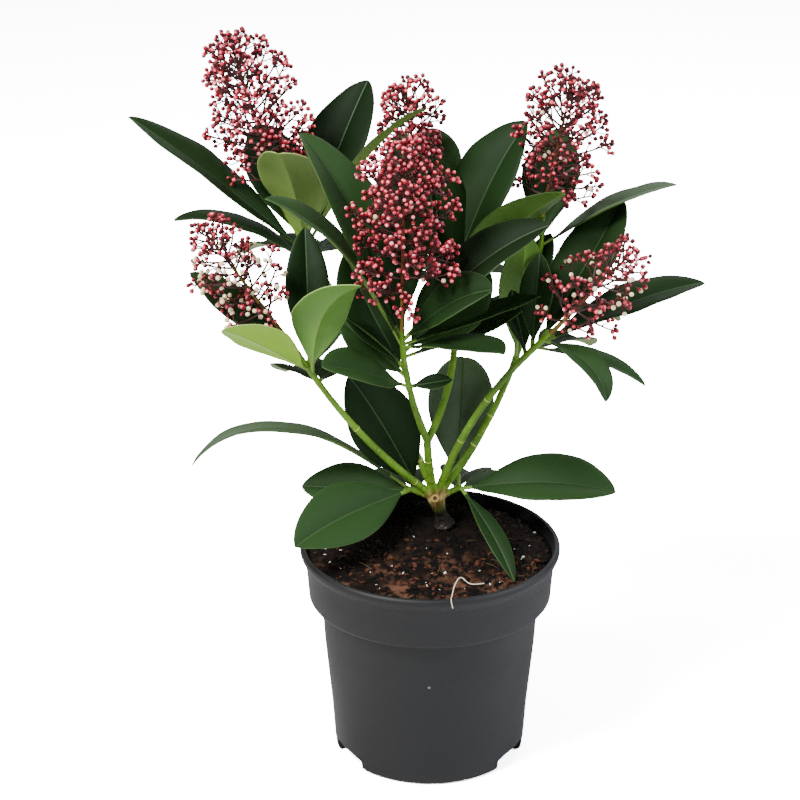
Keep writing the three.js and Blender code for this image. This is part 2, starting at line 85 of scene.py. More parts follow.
SHOOTS = {
    "left": {
        "to": (-64, -14, 220), "bow": (-3.5, -2, -3), "bare_to": 0.74,
        "leaves": [
            Leaf(0.9, 219, 34, 62, 27, 10, 35, under=2),
            Leaf(0.94, 159, 33, 72, 26, 0, -10),
            Leaf(0.9, 95, 66, 70, 22, 10, 0),
            Leaf(0.88, 304, 55, 72, 30, 50, -20, 60, under=1),
            Leaf(0.9, 60, 36, 38, 18, 20, 0),
        ],
        "old": (76, 106),
        "head": {"top": (-110, -16, 287), "bare": 0.3, "spread": 28, "twigs": 34, "seed": 51},
    },
    "back_left": {
        "to": (-71, 40, 272), "bow": (5, 0, -4), "bare_to": 0.78,
        "leaves": [
            Leaf(0.84, 180, 39.5, 115, 27, 8, -12),
            Leaf(0.8, 187, 22, 79, 22, 45, 0),
            Leaf(0.89, 124, 49, 67, 38, 0, 0),
            Leaf(0.88, 255, 55, 78, 37, 30, 0, under=4),
            Leaf(0.89, 50, 56, 88, 39, 10, 0, top=3),
            Leaf(0.88, 4, 50, 93, 17, 32, -30),
        ],
        "old": (55, 85, 120),
        "head": {"top": (-98, 46, 362), "bare": 0.15, "spread": 35, "twigs": 54, "seed": 13},
    },
    "front": {
        "to": (-14, -18, 234), "bow": (-3, 0, 0), "from_fork": True, "bare_to": 0.45,
        "leaves": [
            Leaf(0.84, 202, 51, 112, 27, 38, -16),
            Leaf(0.84, 147, 59, 116, 37, 30, 0),
            Leaf(0.9, 356, 41, 94, 34, 30, 22, top=3),
            Leaf(0.9, 325, 36, 65, 31, 30, 36),
            Leaf(0.87, 7, 18, 71, 20, 0, 0),
            Leaf(0.85, 312, 14, 73, 30, 10, 0),
            Leaf(0.5, 221, 25, 61, 28, 12, -25, top=1),
            Leaf(0.68, 183, 42, 42, 14, 10, 0),
            Leaf(0.8, 25, 36, 58, 34, 10, 50),
            Leaf(0.62, 148, 58, 66, 32, -15, -30),
            Leaf(0.58, 165, 38, 44, 22, 5, -40),
            Leaf(0.76, 12, 18, 62, 18, -5, 10),
            Leaf(0.5, 5, 8, 22, 9, 0, 40),
            Leaf(0.92, 90, 72, 100, 30, 8, 0),
        ],
        "old": (),
        "head": {"top": (-13, -24, 331), "bare": 0.14, "spread": 37, "twigs": 54, "seed": 31},
    },
    "back": {
        "to": (-2, 58, 272), "bow": (14, 4, -6), "from_fork": True, "bare_to": 0.52,
        "leaves": [
            Leaf(0.93, 90, 40, 53, 30, 10, 0),
            Leaf(0.66, 21, 63, 90, 46, 20, 12),
            Leaf(0.6, 331, 47, 90, 38, 25, -24, under=3),
            Leaf(0.55, 130, 74, 80, 36, 10, 0),
        ],
        "old": (45, 80, 115, 155),
        "head": {"top": (-15, 64, 331), "bare": 0.4, "spread": 26, "twigs": 30, "seed": 21},
    },
    "right": {
        "to": (58, -10, 229), "bow": (-6, 0, 4), "bare_to": 0.82,
        "leaves": [
            Leaf(0.92, 52, 38, 89, 34, -5, 0),
            Leaf(0.92, 18, 14, 90, 27, 18, 8),
            Leaf(0.95, 324, -33, 48, 20, 80, 0, top=1),
            Leaf(0.9, 0, -21, 59, 20, 30, 0, top=1),
            Leaf(0.88, 80, 62, 48, 17, 0, 0),
            Leaf(0.84, 110, 55, 34, 14, 0, 0),
        ],
        "old": (60,),
        "head": {"top": (96, -30, 280), "bare": 0.12, "spread": 27, "twigs": 34, "seed": 61},
    },
    "back_right": {
        "to": (55, 38, 272), "bow": (12, 3, -6), "bare_to": 0.5,
        "leaves": [
            Leaf(0.52, 282, 76, 76, 23, 0, 0, under=3),
            Leaf(0.9, 4, 24.5, 74, 24, 19, -6, top=4),
            Leaf(0.9, 77, 44, 66, 30, 0, 0),
            Leaf(0.7, 40, 70, 38, 20, 10, 0),
        ],
        "old": (40, 75, 110, 145),
        "head": {"top": (69, 43, 342), "bare": 0.12, "spread": 33, "twigs": 46, "seed": 41},
    },
}
LOW_SHOOTS = {
    "low_left": {
        "to": (-12, 11, 137),
        "leaves": [
            Leaf(0.9, 186, 8.5, 125, 14, 96, 0, top=4),
            Leaf(0.7, 173, -1, 58, 28, 0, -30, top=1),
            Leaf(0.8, 221, -6, 77, 34, 20, -35),
            Leaf(0.53, 183, 61, 74, 36, 10, -72, top=2),
        ],
        "old": (95, 130),
    },
    "low_right": {
        "to": (16, 12, 137),
        "leaves": [
            Leaf(0.8, 346, 5, 82, 36, 25, 20, top=1),
            Leaf(0.95, 296, -25, 65, 12, 30, 0),
            Leaf(0.85, 86, 46, 74, 34, 55, 0, top=4),
        ],
        "old": (45, 80),
    },
}

# ---- numbers, directions and lines


def seeded(seed):
    """The source's repeatable stream of numbers from 0 to 1."""
    state = seed

    def draw():
        nonlocal state
        state = (state * 1664525 + 1013904223) % 4294967296
        return state / 4294967296

    return draw


def mix(low, high, share):
    return low + (high - low) * share


def smooth(low, high, value):
    """0 up to low, 1 from high on, with a smooth rise between them. It falls where low is the larger."""
    share = min(max((value - low) / (high - low), 0), 1)
    return share * share * (3 - 2 * share)


def turns(sides):
    """Angles spaced evenly round a circle."""
    return [k / sides * math.tau for k in range(sides)]


def level_ring(radius, height, sides):
    return [(radius * math.cos(t), radius * math.sin(t), height) for t in turns(sides)]


def turned(first, second, turn):
    """The way that lies this angle from the first towards the second."""
    return first * math.cos(turn) + second * math.sin(turn)


def direction(heading, rise):
    level = math.cos(math.radians(rise))
    turn = math.radians(heading)
    return Vector((level * math.cos(turn), level * math.sin(turn), math.sin(math.radians(rise))))


def cross_axes(along):
    """Two unit vectors square to a direction, as the source has them."""
    reference = Vector((0, 1, 0)) if abs(along.z) > 0.95 else UP
    side = reference.cross(along).normalized()
    return side, along.cross(side)


def steady_axes(ways):
    """For each direction, two axes square to it that turn as little as they can from one to the next."""
    side, _ = cross_axes(ways[0])
    pairs = []
    for way in ways:
        side = (side - way * side.dot(way)).normalized()
        pairs.append((side, way.cross(side)))
    return pairs


def curve_point(start, middle, end, t):
    """A point of the curve that leaves start towards middle and reaches end from there."""
    return (1 - t) ** 2 * start + 2 * t * (1 - t) * middle + t * t * end


class Line:
    """A curve between two points whose middle stands off the straight line by bow."""

    CUTS = 200

    def __init__(self, start, end, bow=(0, 0, 0)):
        self.start = Vector(start)
        self.end = Vector(end)
        self.middle = (self.start + self.end) / 2 + 2 * Vector(bow)
        points = [curve_point(self.start, self.middle, self.end, i / self.CUTS) for i in range(self.CUTS + 1)]
        steps = [(b - a).length for a, b in zip(points, points[1:])]
        self.run = np.concatenate(([0], np.cumsum(steps)))
        self.length = float(self.run[-1])

    def _t(self, share):
        return float(np.interp(share * self.length, self.run, np.linspace(0, 1, self.CUTS + 1)))

    def at(self, share):
        return curve_point(self.start, self.middle, self.end, self._t(share))

    def way(self, share):
        t = self._t(share)
        return ((1 - t) * (self.middle - self.start) + t * (self.end - self.middle)).normalized()

    def along(self, shares):
        """The points and directions at these shares of its length."""
        return [self.at(s) for s in shares], [self.way(s) for s in shares]


# ---- meshes


class Skin:
    """Gathers rings of points and copies of small shapes into one mesh."""

    def __init__(self):
        self.points = []
        self.count = 0
        self.faces = {3: [], 4: []}
        self.slots = {3: [], 4: []}

    def add(self, points, faces, slots):
        """points: n by 3. faces: a list of (m by 3 or 4 corners) with one list of m slots each."""
        self.points.append(np.asarray(points, dtype=float))
        for corners, slot in zip(faces, slots):
            size = len(corners[0])
            self.faces[size].append(np.asarray(corners) + self.count)
            self.slots[size].append(np.broadcast_to(slot, len(corners)))
        self.count += len(points)

    def rings(self, rings, slots):
        """A closed skin over rings of points. slots[r][k] is the slot of the face after point k."""
        sides = len(rings[0])
        k = np.arange(sides)
        after = (k + 1) % sides
        row = np.arange(len(rings) - 1)[:, None] * sides
        a, b = (row + k).ravel(), (row + after).ravel()
        quads = np.stack([a, b, b + sides, a + sides], axis=1)
        middles = len(rings) * sides
        last = middles - sides
        foot = np.stack([after, k, np.full(sides, middles)], axis=1)
        head = np.stack([last + k, last + after, np.full(sides, middles + 1)], axis=1)
        slots = np.broadcast_to(slots, (len(rings) - 1, sides))
        points = np.array([tuple(p) for ring in rings for p in ring])
        points = np.vstack([points, points[:sides].mean(0), points[last:middles].mean(0)])
        self.add(points, [quads, foot, head], [slots.ravel(), slots[0], slots[-1]])

    def tube(self, points, ways, radii, sides, slots, relief=None):
        """A tube round a line of points. relief(point) adds to the radius there."""
        circle = [(math.cos(t), math.sin(t)) for t in turns(sides)]
        rings = []
        for point, (side, top), radius in zip(points, steady_axes(ways), radii):
            ring = [point + side * (radius * c) + top * (radius * s) for c, s in circle]
            if relief:
                ring = [p + (p - point).normalized() * relief(p) for p in ring]
            rings.append(ring)
        self.rings(rings, slots)

    def bent_tube(self, start, end, bow, radii, slot, steps, sides):
        """A thin limb from start to end, bowed, whose radius goes from the first of radii to the last."""
        line = Line(start, end, bow)
        shares = [i / steps for i in range(steps + 1)]
        self.tube(*line.along(shares), [mix(*radii, s) for s in shares], sides, slot)
        return line

    def tree(self):
        """A tree for finding the nearest point of this skin."""
        points = [tuple(p) for p in np.concatenate(self.points)]
        faces = [tuple(map(int, f)) for size in (3, 4) for part in self.faces[size] for f in part]
        return BVHTree.FromPolygons(points, faces)

    def make(self, name, finishes):
        """The mesh as an object with these materials, in metres."""
        kinds = [size for size in (3, 4) if self.faces[size]]
        points = np.concatenate(self.points) * MM
        corners = np.concatenate([part.ravel() for size in kinds for part in self.faces[size]])
        sizes = np.concatenate([np.full(len(part), size) for size in kinds for part in self.faces[size]])
        slots = np.concatenate([part for size in kinds for part in self.slots[size]])
        starts = np.concatenate(([0], np.cumsum(sizes)[:-1]))
        data = bpy.data.meshes.new(name)
        data.vertices.add(len(points))
        data.vertices.foreach_set("co", points.ravel())
        data.loops.add(len(corners))
        data.loops.foreach_set("vertex_index", corners.astype(np.int32))
        data.polygons.add(len(sizes))
        data.polygons.foreach_set("loop_start", starts.astype(np.int32))
        data.polygons.foreach_set("material_index", slots.astype(np.int32))
        data.polygons.foreach_set("use_smooth", np.ones(len(sizes), dtype=bool))
        data.update(calc_edges=True)
        data.validate()
        for finish in finishes:
            data.materials.append(finish)
        piece = bpy.data.objects.new(name, data)
        bpy.context.scene.collection.objects.link(piece)
        return piece


def ball(around, rings):
    """Points, triangles and quads of a unit ball with its poles on Z."""
    points = [Vector((0, 0, -1))]
    for r in range(1, rings):
        tilt = math.pi * r / rings
        points += [Vector(p) for p in level_ring(math.sin(tilt), -math.cos(tilt), around)]
    points.append(Vector((0, 0, 1)))
    tris, quads = [], []
    top = len(points) - 1
    for k in range(around):
        after = (k + 1) % around
        tris.append((0, 1 + after, 1 + k))
        tris.append((top, top - around + k, top - around + after))
    for r in range(rings - 2):
        for k in range(around):
            a, b = 1 + r * around + k, 1 + r * around + (k + 1) % around
            quads.append((a, b, b + around, a + around))
    return points, tris, quads


# ---- materials


def tint(colour):
    """A colour written as hex, in linear values. Anything else stays as it is."""
    if not isinstance(colour, str):
        return colour
    values = [int(colour[i : i + 2], 16) / 255 for i in (1, 3, 5)]
    return (*[v / 12.92 if v <= 0.04045 else ((v + 0.055) / 1.055) ** 2.4 for v in values], 1)


def feed(tree, socket, source):
    """Links an input to another node's output, or sets it to a value."""
    if isinstance(source, bpy.types.NodeSocket):
        tree.links.new(source, socket)
    else:
        socket.default_value = source


def add_node(tree, kind, inputs, **settings):
    """The outputs of a new node."""
    node = tree.nodes.new(f"ShaderNode{kind}")
    for name, value in settings.items():
        setattr(node, name, value)
    for name, source in inputs.items():
        feed(tree, node.inputs[name], source)
    return node.outputs


class Nodes:
    """A material's nodes, with short ways to add and join them."""

    def __init__(self, name, specular=0.5):
        self.material = bpy.data.materials.new(name)
        self.material.use_nodes = True
        self.tree = self.material.node_tree
        self.place = self.add("TexCoord", {})["Object"]
        self.shade("Specular IOR Level", specular)

    def add(self, kind, inputs, **settings):
        return add_node(self.tree, kind, inputs, **settings)

    def shade(self, name, source):
        """Sets or links an input of the material's shader."""
        feed(self.tree, self.tree.nodes["Principled BSDF"].inputs[name], tint(source))

    def noise(self, scale, detail, roughness=0.55, stretch=None):
        place = self.place
        if stretch:
            place = self.add("Mapping", {"Vector": place, "Scale": stretch})["Vector"]
        values = {"Vector": place, "Scale": scale, "Detail": detail, "Roughness": roughness}
        return self.add("TexNoise", values)["Fac"]

    def spots(self, scale, least, most):
        """1 inside small round spots and 0 between them."""
        cells = self.add("TexVoronoi", {"Vector": self.place, "Scale": scale})
        return self.span(cells["Distance"], least, most, 1, 0)

    def span(self, source, low, high, to_low=0, to_high=1):
        """A smooth rise from to_low, where the source is low, up to to_high, where it is high."""
        values = {"Value": source, "From Min": low, "From Max": high, "To Min": to_low, "To Max": to_high}
        return self.add("MapRange", values, interpolation_type="SMOOTHSTEP")["Result"]

    def blend(self, factor, first, second):
        """A colour between two, each a hex code or a socket."""
        return self.add("Mix", {0: factor, 6: tint(first), 7: tint(second)}, data_type="RGBA")[2]

    def times(self, first, second):
        return self.add("Math", {0: first, 1: second}, operation="MULTIPLY")[0]

    def axis(self, name):
        return self.add("SeparateXYZ", {0: self.place})[name]

    def distance(self, point):
        return self.add("VectorMath", {0: self.place, 1: point * MM}, operation="DISTANCE")["Value"]

    def bump(self, height, depth, strength=1.0):
        """The material, with relief from a height of 0 to 1 that stands for depth in millimetres."""
        values = {"Height": height, "Strength": strength, "Distance": depth * MM}
        self.shade("Normal", self.add("Bump", values)["Normal"])
        return self.material


def plastic():
    """Near-black moulded plastic, a little worn, with a fine grain and a few specks of dust. Its left side is
    painted darker as shade and its right side lighter and bluer as painted light.
    """
    n = Nodes("pot_plastic", 0.33)
    cloud = n.noise(9, 3)
    # Painted shade and light: the plastic darkens towards the left and turns lighter and bluer towards the
    # right.
    side = n.span(n.axis("X"), -0.05, 0.06)
    body = n.blend(side, "#121212", "#191a1f")
    worn = n.blend(n.times(n.span(cloud, 0.4, 0.75), 0.5), body, "#1d1d1f")
    dust = n.times(n.spots(60, 0.03, 0.055), n.span(n.noise(25, 2), 0.56, 0.62))
    n.shade("Base Color", n.blend(dust, worn, "#a09b8c"))
    n.shade("Roughness", n.span(cloud, 0.3, 0.7, 0.5, 0.66))
    return n.bump(n.noise(900, 2), 0.05, 0.35)


def peat():
    """Near-black peat, with rust-brown patches along the front of the brim."""
    n = Nodes("peat", 0.1)
    clumps = n.noise(220, 6, 0.65)
    dark = n.blend(n.span(clumps, 0.42, 0.66), "#080605", "#1a100b")
    front = n.span(n.axis("Y"), -0.048, -0.005, 1, 0)
    patches = n.times(n.span(n.noise(60, 3), 0.4, 0.66), n.span(clumps, 0.44, 0.6))
    n.shade("Base Color", n.blend(n.times(patches, front), dark, "#5e3f30"))
    n.shade("Roughness", n.span(clumps, 0.3, 0.7, 0.75, 0.95))
    return n.bump(clumps, 0.8)


def wood():
    """Brown bark below the knot, a tan knot, then green bark with paler streaks and specks."""
    n = Nodes("bark", 0.28)
    streaks = n.noise(500, 4, 0.6, stretch=(1, 1, 0.18))
    clouds = n.noise(60, 3)
    green = n.blend(n.span(clouds, 0.35, 0.65), "#4d7219", "#648f22")
    green = n.blend(n.times(n.span(streaks, 0.5, 0.75), 0.5), green, "#7c9c38")
    lenticels = n.times(n.spots(300, 0.1, 0.16), n.span(n.noise(90, 2), 0.5, 0.6))
    green = n.blend(n.times(lenticels, 0.6), green, "#aab86c")
    tan = n.blend(n.span(streaks, 0.35, 0.65), "#6a5428", "#9c8c52")
    young = n.blend(n.span(n.distance(KNOT), 0.004, 0.009), tan, green)
    brown = n.blend(n.span(streaks, 0.35, 0.65), "#0b0705", "#20160e")
    n.shade("Base Color", n.blend(n.span(n.axis("Z"), 0.124, 0.134), brown, young))
    return n.bump(streaks, 0.12, 0.6)


def plain(name, colour, roughness, grain, depth, specular):
    """One base colour with fine relief, or with none where grain is 0."""
    n = Nodes(name, specular)
    n.shade("Base Color", colour)
    n.shade("Roughness", roughness)
    return n.bump(n.noise(grain, 3), depth, 0.6) if grain else n.material


# Roughness, the relief's scale and depth and the specular level, then what is finished so.
UNDERSIDE = (0.5, 500, 0.05, 0.3)
SHINY = (0.35, 1200, 0.02, 0.35)
PLAIN = [
    (0.55, 900, 0.05, 0.5, {"node_ring": "#b4c25a"}),
    (0.7, 900, 0.1, 0.5, {"scar": "#a48339"}),
    (0.8, 900, 0.1, 0.5, {"scar_hollow": "#4a3826", "perlite": "#d8d4c8"}),
    (0.6, 350, 0.08, 0.13, {"leaf_dark": "#152b0e", "leaf_mid": "#243d1b"}),
    (0.58, 350, 0.08, 0.13, {"leaf_deep": "#12260d"}),
    # A darker copy of the leaf top, painted shade.
    (0.6, 350, 0.08, 0.1, {"leaf_painted_shade": "#0e1f09"}),
    # A lighter, greyer copy of the leaf top, painted sheen.
    (0.55, 350, 0.08, 0.3, {"leaf_painted_sheen": "#3f5139"}),
    (*UNDERSIDE, {"leaf_under": "#6a843c", "leaf_under_lit": "#708b42", "leaf_under_green": "#5f8a38"}),
    # A paler copy of the underside's green, painted as light shining through the leaf, and a darker copy,
    # painted shade.
    (*UNDERSIDE, {"leaf_under_painted_backlight": "#8cb831", "leaf_under_painted_shade": "#51772b"}),
    # leaf_rib is the midrib's own colour. The margin colours are a painted highlight along the leaf's edge,
    # and the pale one is the brighter highlight.
    (*UNDERSIDE, {"leaf_rib": "#2b4521", "leaf_margin_highlight": "#36521f", "leaf_margin_highlight_pale": "#9db765"}),
    (0.45, 500, 0.05, 0.5, {"leaf_stalk": "#6d8f33"}),
    (0.5, 700, 0.05, 0.3, {"stalk_green": "#74601f", "stalk_brown": "#542a16"}),
    (0.5, 900, 0.05, 0.5, {"twig": "#3d1512", "pedicel": "#54181a"}),
    (0.5, 0, 0, 0.5, {"calyx": "#5c151d"}),
    (*SHINY, {"bud_coral": "#8f101f", "bud_rose": "#a31d30", "bud_deep": "#560d16", "bud_cream": "#ffe2ac"}),
    # Paler copies of the buds' colours: a painted highlight on each bud's tip.
    (*SHINY, {"tip_highlight_coral": "#ff6b7a", "tip_highlight_rose": "#ffa3aa", "tip_highlight_deep": "#c23347", "tip_highlight_cream": "#fff3d6"}),
    (0.85, 600, 0.2, 0.2, {"bark_chip": "#24150d", "red_chip": "#4c2b1b"}),
    (0.9, 600, 0.2, 0.2, {"dark_chip": "#0d0907"}),
    (0.8, 900, 0.05, 0.5, {"root": "#5d472a"}),
    (0.6, 900, 0.05, 0.5, {"white_root": "#e6dcc8"}),
]
FINISH = {"plastic": plastic(), "peat": peat(), "wood": wood()}
for *surface, colours in PLAIN:
    for label, code in colours.items():
        FINISH[label] = plain(label, code, *surface)


def finishes(*names):
    return [FINISH[name] for name in names]


def dress(piece, slot, *nodes):
    """The piece rides on the one body and stands for these nodes. slot is not used."""
    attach(piece, "root")
    if nodes:
        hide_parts(*nodes)


# ---- pot

POT_INSIDE = [(radius - POT["wall"], height + POT["wall"]) for radius, height in POT_WALL]
POT_MIDDLE = 3  # the radius where the outline starts and ends, which a flat cap closes
POT_SIDES = 160
ROUNDING = 0.25
ROUND_STEPS = 3
NOTCH_CORNER = 2
SHARP = math.radians(35)  # the least angle of a crisp edge


def pot_outline():
    """The pot's outline from the middle of its underside, over the lip, to the middle of its floor."""
    floor = [(POT_INSIDE[0][0] - POT["wall"], POT["floor"]), (POT_MIDDLE, POT["floor"])]
    return [(POT_MIDDLE, 0), *POT_FOOT, *POT_WALL, *POT_LIP, *reversed(POT_INSIDE), *floor]


def rounded(outline, radius):
    """An outline with each corner cut back by up to radius and rounded."""
    points = [Vector(p) for p in outline]
    soft = [points[0]]
    for before, corner, after in zip(points, points[1:], points[2:]):
        back = min(radius, (before - corner).length / 3)
        on = min(radius, (after - corner).length / 3)
        first = corner + (before - corner).normalized() * back
        last = corner + (after - corner).normalized() * on
        soft += [curve_point(first, corner, last, i / ROUND_STEPS) for i in range(ROUND_STEPS + 1)]
    return [*soft, points[-1]]


def make_pot():
    skin = Skin()
    skin.rings([level_ring(*point, POT_SIDES) for point in rounded(pot_outline(), ROUNDING)], 0)
    pot = skin.make("pot_shell", finishes("plastic"))
    cutter = notch_cutter()
    cut = pot.modifiers.new("notches", "BOOLEAN")
    cut.object = cutter
    cut.solver = "EXACT"
    replace_mesh(pot)
    bpy.data.objects.remove(cutter)
    pot.data.set_sharp_from_angle(angle=SHARP)
    dress(pot, "pot_plastic", "pot")


def notch_cutter():
    """The blocks that cut the drain notches, with rounded upper corners."""
    skin = Skin()
    half, high = NOTCH["width"] / 2, NOTCH["height"]
    across, up = half - NOTCH_CORNER, high - NOTCH_CORNER
    arch = [(-half, -high), (half, -high)]
    for middle, start in ((across, 0), (-across, 90)):
        for i in range(5):
            turn = math.radians(start + i * 22.5)
            arch.append((middle + NOTCH_CORNER * math.cos(turn), up + NOTCH_CORNER * math.sin(turn)))
    for heading in NOTCH["headings"]:
        turn = Matrix.Rotation(math.radians(heading), 3, "Z")
        far = NOTCH["inner"] + NOTCH["reach"]
        skin.rings([[turn @ Vector((x, y, z)) for y, z in arch] for x in (NOTCH["inner"], far)], 0)
    return skin.make("cutter", [])


def replace_mesh(piece):
    """Applies a piece's modifiers to its mesh."""
    graph = bpy.context.evaluated_depsgraph_get()
    data = bpy.data.meshes.new_from_object(piece.evaluated_get(graph))
    piece.modifiers.clear()
    piece.data = data


# ---- soil


def inside_radius(height):
    return float(np.interp(height, [z for _, z in POT_INSIDE], [r for r, _ in POT_INSIDE]))


SOIL_EDGE = inside_radius(SOIL["edge"]) - 0.15
SOIL_TILT = Vector((-1.2, -1.6))  # how much the soil's edge rises towards the front and left
SOIL_SIDES, SOIL_RINGS = 240, 75
CROWN_SHARE = 0.2  # how far out the soil's level crown goes
LUMPS, CRUMBS = (9, 1.3), (2.1, 2)  # how wide and how high they are
SUNK = 0.7  # how far the lumpy soil lies below its smooth shape


def soil_ring(share):
    """The middle and radius of a ring on the soil, and how far down from the crown it is, from 0 to 1."""
    on = max((share - CROWN_SHARE) / (1 - CROWN_SHARE), 0)
    radius = mix(SOIL["crown_radius"], SOIL_EDGE, on) if on else SOIL["crown_radius"] * share / CROWN_SHARE
    return FOOT.xy * (1 - on), radius, on


def soil_point(share, turn):
    """A point of the soil's top. share is 0 at the trunk's foot and 1 at the wall."""
    out = Vector((math.cos(turn), math.sin(turn)))
    middle, radius, on = soil_ring(share)
    place = middle + out * radius
    height = mix(SOIL["crown"], SOIL["edge"], on**1.5) + on * out.dot(SOIL_TILT)
    lumps = noise.fractal(Vector((*place, 0)) / LUMPS[0], 1, 2, 4) * LUMPS[1]
    crumbs = abs(noise.noise(Vector((*place, 5)) / CRUMBS[0])) * CRUMBS[1]
    return Vector((*place, height + smooth(0, 0.12, share) * (lumps + crumbs - SUNK)))


def make_soil():
    skin = Skin()
    walls = [(SOIL["foot"], POT["floor"] + GAP), *POT_INSIDE[:-1]]
    rings = [level_ring(*point, SOIL_SIDES) for point in walls]
    for i in range(SOIL_RINGS, 0, -1):
        rings.append([soil_point(i / SOIL_RINGS, turn) for turn in turns(SOIL_SIDES)])
    skin.rings(rings, 0)
    dress(skin.make("soil_bed", finishes("peat")), "peat", "soil")


def on_soil(x, y):
    """The soil's top at a place, found between its crown and its edge."""
    place = Vector((x, y))
    low, high = 0.0, 1.0
    for _ in range(20):
        share = (low + high) / 2
        middle, radius = soil_ring(share)[:2]
        if (place - middle).length > radius:
            low = share
        else:
            high = share
    out = place - middle
    return soil_point(share, math.atan2(out.y, out.x))


def soil_spot(draw, inner, outer):
    """A place on the soil drawn by lot, more often towards the outer share."""
    return soil_point(mix(inner, outer, draw.random() ** 0.6), draw.random() * math.tau)


LUMP_POINTS, LUMP_TRIS, LUMP_QUADS = ball(6, 4)
LUMP_FACES = LUMP_TRIS + [(a, b, c) for a, b, c, _ in LUMP_QUADS] + [(a, c, d) for a, _, c, d in LUMP_QUADS]


def chip(skin, place, size, slot, draw):
    """A small broken lump of bark or peat."""
    turn = Matrix.Rotation(draw.random() * math.tau, 3, "Z") @ Matrix.Rotation(draw.random() * 2, 3, "X")
    squash = Vector((1, draw.uniform(0.4, 0.8), draw.uniform(0.25, 0.5)))
    points = []
    for p in LUMP_POINTS:
        p = p * draw.uniform(0.75, 1.15)
        points.append(place + turn @ Vector([a * b * size for a, b in zip(p, squash)]))
    skin.add([tuple(p) for p in points], [LUMP_FACES], [slot])


CHIPS = 900
CHIP_SIZE = (0.7, 2.1)
FINE_GRAINS = 26
FINE_ROOTS = 34
# Pale grains that show between the leaves, as x and y.
GRAINS = [(-44.4, -9.7), (-52.4, -4.1), (-52.2, -14.2), (-49.6, -20.9), (-13.5, -38.4), (-1.9, -49.1)]
GRAINS += [(-8, -3), (53, 19), (46, -16.4), (28.9, -42.7), (7, -37.3)]
LITTER = ("bark_chip", "dark_chip", "red_chip", "perlite", "root")
PERLITE, ROOT = 3, 4  # places in LITTER


def tossed(draw, low, high):
    """A vector drawn by lot, whose rise is between low and high."""
    return Vector((draw.uniform(-1, 1), draw.uniform(-1, 1), draw.uniform(low, high)))


def make_crumbs():
    """Bark, peat and perlite on the soil, and the fine roots between them."""
    draw = random.Random(5)
    skin = Skin()
    for _ in range(CHIPS):
        place = soil_spot(draw, 0.16, 0.97)
        rusty = smooth(5, -45, place.y)
        slot = draw.choices((0, 1, 2), (3, 6, 9 * rusty))[0]
        chip(skin, place, draw.uniform(*CHIP_SIZE), slot, draw)
    for x, y in GRAINS:
        chip(skin, on_soil(x, y) + UP * 0.5, draw.uniform(0.9, 1.2), PERLITE, draw)
    for _ in range(FINE_GRAINS):
        place = soil_spot(draw, 0.2, 0.97)
        chip(skin, place + UP * 0.2, draw.uniform(0.3, 0.7), PERLITE, draw)
    for _ in range(FINE_ROOTS):
        start = soil_spot(draw, 0.2, 0.93)
        way = tossed(draw, -0.1, 0.15).normalized()
        end = start + way * draw.uniform(3, 9)
        if end.xy.length < SOIL_EDGE - 1:
            lift = UP * 0.35
            skin.bent_tube(start + lift, end + lift, tossed(draw, 0, 0.8), (0.16, 0.08), ROOT, 6, 5)
    dress(skin.make("soil_crumbs", finishes(*LITTER)), "peat")


# A loose white root: first as x, y and its height above the soil, then as points that hang over the brim.
THREAD = [(25.9, -44.8, 0.6), (20.5, -47.4, 0.9), (17.6, -45.3, 1.1), (14.4, -44, 1.4), (11.6, -50, 1.8)]
THREAD_END = [(10, -57, 110.6), (9.6, -62.8, 112.5), (9.8, -65.5, 111.2), (10.4, -65.6, 108.6)]
THREAD_RADII = (0.3, 0.22)


def make_thread():
    """The loose white root, as a smooth tube."""
    points = [on_soil(x, y) + UP * lift for x, y, lift in THREAD]
    points += [Vector(p) for p in THREAD_END]
    soft = []
    for i in range(len(points) - 1):
        before = points[max(i - 1, 0)]
        after = points[min(i + 2, len(points) - 1)]
        first = points[i] + (points[i + 1] - before) / 6
        second = points[i + 1] - (after - points[i]) / 6
        soft += interpolate_bezier(points[i], first, second, points[i + 1], 9)[:-1]
    soft.append(points[-1])
    ways = [(b - a).normalized() for a, b in zip(soft, soft[1:])]
    ways.append(ways[-1])
    skin = Skin()
    skin.tube(soft, ways, [mix(*THREAD_RADII, i / len(soft)) for i in range(len(soft))], 8, 0)
    dress(skin.make("white_root", finishes("white_root")), "peat")


# ---- trunk and stems

# How far along each line, in millimetres, a pale ring marks where old leaves stood.
NODE_RINGS = {
    "left": (16, 61),
    "back_left": (21,),
    "centre": (25, 41.5),
    "right": (37, 64),
    "back_right": (33, 50),
}
RING_HALF = 0.41
RING_RISE = 0.13
SWELL = {"rise": 0.14, "half": 1.6}  # how a stem thickens where a leaf stands
STEP = 0.8  # between the cross sections of a stem
STEM_SIDES = 18
TRUNK_SIDES = 28
TRUNK_VOXEL = 0.34
TRUNK_RELIEF, STEM_RELIEF = 2.2, 1
OLD_BARK = (136, 124)  # the heights between which the bark grows rough
JOIN = 2  # how far a stem reaches down into the knot's stub
# How many sections of a flower stalk are olive before it turns brown.
OLIVE_SECTIONS = {"left": 70, "back_left": 14, "front": 22, "back": 14, "right": 24, "back_right": 14}
BARK = ("wood", "node_ring", "stalk_green", "stalk_brown")
OLIVE, BROWN = 2, 3  # places in BARK


def bark_relief(strength):
    def relief(p):
        ridges = noise.noise(Vector((p.x * 1.1, p.y * 1.1, p.z * 0.25)))
        pores = noise.noise(p * 2.2)
        return strength * (0.1 * ridges + 0.05 * pores)

    return relief


def steps_along(start, end):
    return max(int((end - start) / STEP), 2)


